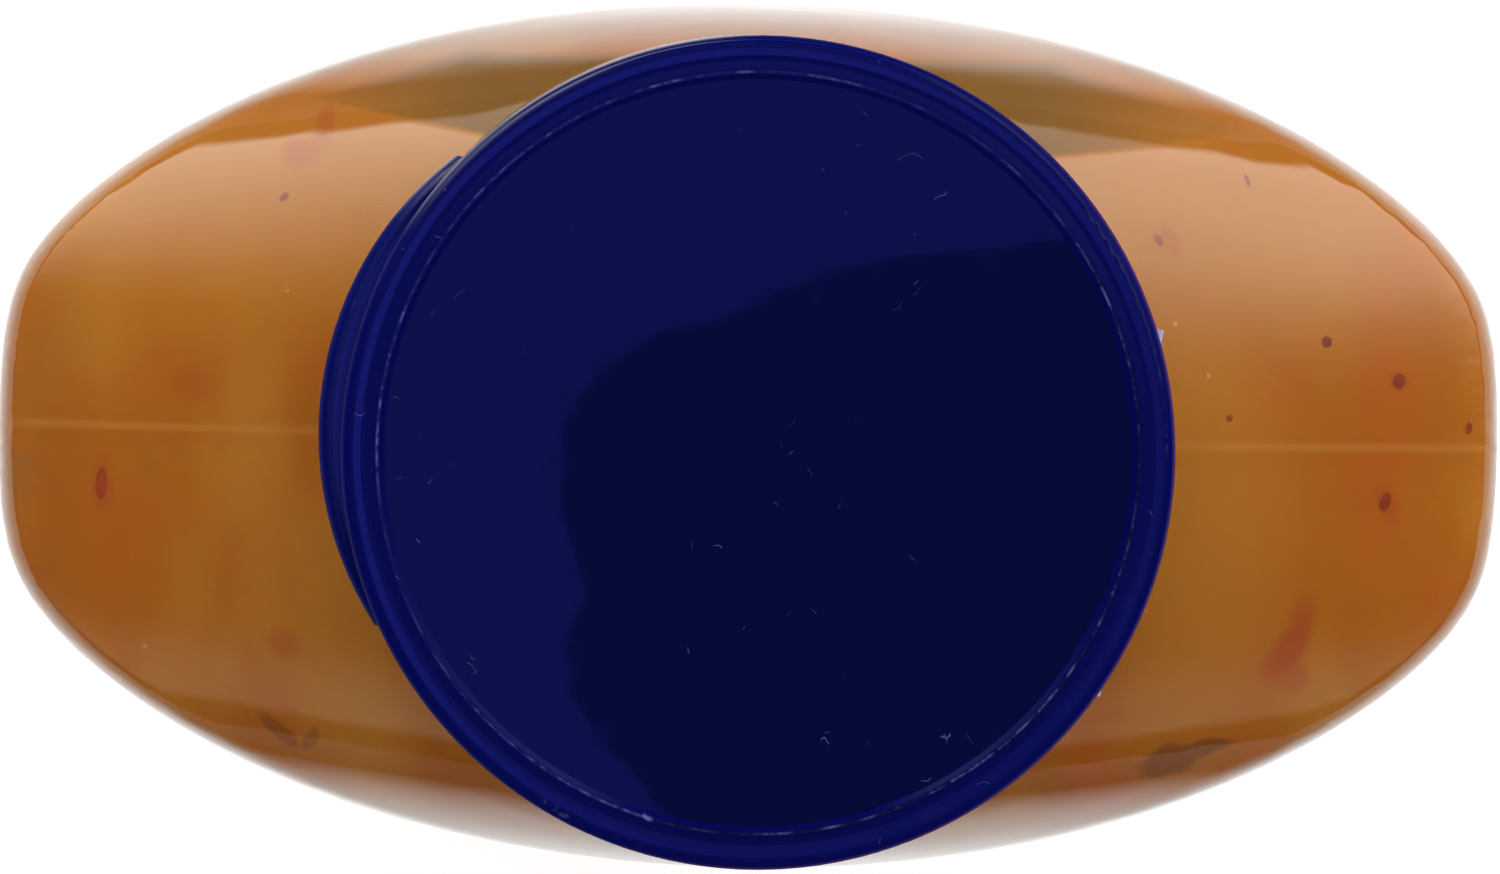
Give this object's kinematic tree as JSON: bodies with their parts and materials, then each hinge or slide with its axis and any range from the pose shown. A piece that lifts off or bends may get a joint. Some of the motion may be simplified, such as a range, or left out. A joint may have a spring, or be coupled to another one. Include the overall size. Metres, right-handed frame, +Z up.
{
  "type": "sweet and sour sauce bottle",
  "caption": "Oval clear plastic squeeze bottle filled with orange-brown sauce, shut with a round dark blue flip-top cap that has a thumb lip and a film hinge.",
  "frame": {"origin": "centre of the standing face at the bottle's base", "axes": "+Z up along the bottle's axis to the cap, +X along the wide side, +Y through the depth"},
  "size_m": [0.075, 0.0434, 0.1704],
  "materials": {
    "clear_plastic": "clear glossy blown plastic",
    "sauce": "translucent orange-brown sauce with red flecks",
    "cap_plastic": "glossy dark blue moulded plastic"
  },
  "bodies": {
    "root": {"bottle": "clear_plastic", "sauce": "sauce", "cap_base": "cap_plastic", "cap_lid": "cap_plastic", "cap_hinge": "cap_plastic"}
  },
  "joints": []
}
